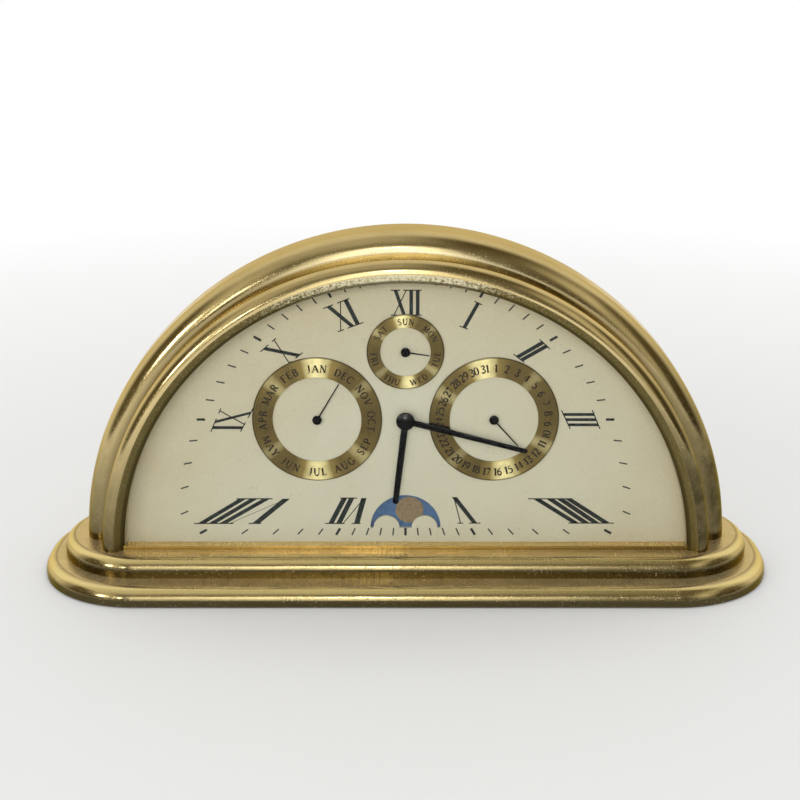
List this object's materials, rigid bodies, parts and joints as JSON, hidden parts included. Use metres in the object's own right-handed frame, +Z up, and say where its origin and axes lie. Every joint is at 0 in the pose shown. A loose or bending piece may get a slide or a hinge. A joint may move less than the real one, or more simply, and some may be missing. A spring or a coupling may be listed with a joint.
{
  "type": "desk clock",
  "caption": "Half-round brass desk clock on a stepped plinth, with hour and minute hands, month, date and day subdials and a moon aperture.",
  "frame": {"origin": "middle of the bounding box's underside, on the table", "axes": "+Z up, +X to the right seen from the front (the long side of the plinth), the dial faces -Y"},
  "size_m": [0.205, 0.062, 0.0981],
  "materials": {
    "polished_brass": "polished and lacquered",
    "satin_brass": "brushed in circles",
    "works_brass": "turned",
    "dial_cream": "matte with printed markings",
    "reveal_cream": "satin",
    "hand_black": "gloss",
    "pointer_black": "satin",
    "moon_blue": "printed",
    "steel": "satin",
    "spring_steel": "bright",
    "glass": "clear",
    "felt": "felt",
    "black_plastic": "moulded",
    "board": "solder mask",
    "copper_coil": "enamelled wire",
    "cell_label": "sleeved",
    "cover_brass": "lacquered sheet"
  },
  "bodies": {
    "case": {"plinth_lower": "polished_brass", "plinth_upper": "polished_brass", "felt_pad": "felt", "case_screws": "steel", "case_arch": "polished_brass", "front_bezel": "polished_brass", "rear_bezel": "polished_brass", "front_glass": "glass", "reveal_ring": "reveal_cream", "dial_plate": "dial_cream", "month_ring": "satin_brass", "date_ring": "satin_brass", "day_ring": "satin_brass", "dial_feet": "works_brass", "calendar_plate": "works_brass", "plate_screws": "steel", "movement_case": "black_plastic", "movement_lid": "black_plastic", "movement_screws": "steel", "circuit_board": "board", "drive_coil": "copper_coil", "battery_cell": "cell_label", "battery_contacts": "steel", "cover_pillars": "works_brass", "cover_screws": "steel", "rear_cover": "cover_brass", "hinge_pin": "steel", "month_pusher_spring": "spring_steel", "date_pusher_spring": "spring_steel", "day_pusher_spring": "spring_steel", "moon_pusher_spring": "spring_steel"},
    "minute_hand_arbor": {"minute_hand": "hand_black", "hand_cap": "hand_black", "cannon_pinion": "works_brass"},
    "hour_hand_pipe": {"hour_hand": "hand_black", "hour_wheel": "works_brass"},
    "minute_wheel_turn": {"minute_wheel": "works_brass"},
    "setting_knob": {"set_knob": "polished_brass", "set_pinion": "works_brass"},
    "month_display": {"month_pointer": "pointer_black", "month_star": "works_brass"},
    "date_display": {"date_pointer": "pointer_black", "date_star": "works_brass"},
    "day_display": {"day_pointer": "pointer_black", "day_star": "works_brass"},
    "moon_display": {"moon_disc": "moon_blue"},
    "month_corrector": {"month_pusher": "works_brass"},
    "date_corrector": {"date_pusher": "works_brass"},
    "day_corrector": {"day_pusher": "works_brass"},
    "moon_corrector": {"moon_pusher": "works_brass"},
    "cell_door": {"battery_door": "cover_brass"}
  },
  "joints": [
    {"name": "minute_spin", "type": "hinge", "parent": "case", "child": "minute_hand_arbor", "pos_m": [0, -0.0124, 0.047], "axis": [0, 1, 0], "continuous": true},
    {"name": "hour_spin", "type": "hinge", "parent": "case", "child": "hour_hand_pipe", "pos_m": [0, -0.01195, 0.047], "axis": [0, 1, 0], "continuous": true},
    {"name": "minute_wheel_spin", "type": "hinge", "parent": "case", "child": "minute_wheel_turn", "pos_m": [0.00424, -0.0086, 0.05124], "axis": [0, 1, 0], "continuous": true},
    {"name": "setting_spin", "type": "hinge", "parent": "case", "child": "setting_knob", "pos_m": [0.00849, 0.0136, 0.05549], "axis": [0, 1, 0], "continuous": true},
    {"name": "month_spin", "type": "hinge", "parent": "case", "child": "month_display", "pos_m": [-0.0241, -0.0092, 0.047], "axis": [0, 1, 0], "continuous": true},
    {"name": "date_spin", "type": "hinge", "parent": "case", "child": "date_display", "pos_m": [0.0241, -0.0092, 0.047], "axis": [0, 1, 0], "continuous": true},
    {"name": "day_spin", "type": "hinge", "parent": "case", "child": "day_display", "pos_m": [0, -0.0092, 0.0662], "axis": [0, 1, 0], "continuous": true},
    {"name": "moon_spin", "type": "hinge", "parent": "case", "child": "moon_display", "pos_m": [0, -0.0097, 0.0151], "axis": [0, 1, 0], "continuous": true},
    {"name": "month_press", "type": "slide", "parent": "case", "child": "month_corrector", "axis": [0, -1, 0], "range_m": [0, 0.0018], "stiffness_N_per_m": 300, "springref_m": -0.001, "deforming": ["month_pusher_spring"]},
    {"name": "date_press", "type": "slide", "parent": "case", "child": "date_corrector", "axis": [0, -1, 0], "range_m": [0, 0.0018], "stiffness_N_per_m": 300, "springref_m": -0.001, "deforming": ["date_pusher_spring"]},
    {"name": "day_press", "type": "slide", "parent": "case", "child": "day_corrector", "axis": [0, -1, 0], "range_m": [0, 0.0018], "stiffness_N_per_m": 300, "springref_m": -0.001, "deforming": ["day_pusher_spring"]},
    {"name": "moon_press", "type": "slide", "parent": "case", "child": "moon_corrector", "axis": [0, -1, 0], "range_m": [0, 0.0018], "stiffness_N_per_m": 300, "springref_m": -0.001, "deforming": ["moon_pusher_spring"]},
    {"name": "door_hinge", "type": "hinge", "parent": "case", "child": "cell_door", "pos_m": [0, 0.0123, 0.01655], "axis": [-1, 0, 0], "range_deg": [0, 95]}
  ],
  "couplings": [
    {"joint": "hour_spin", "follows": "minute_spin", "ratio": 0.083333},
    {"joint": "minute_wheel_spin", "follows": "minute_spin", "ratio": -0.33333},
    {"joint": "setting_spin", "follows": "minute_spin", "ratio": 1}
  ]
}
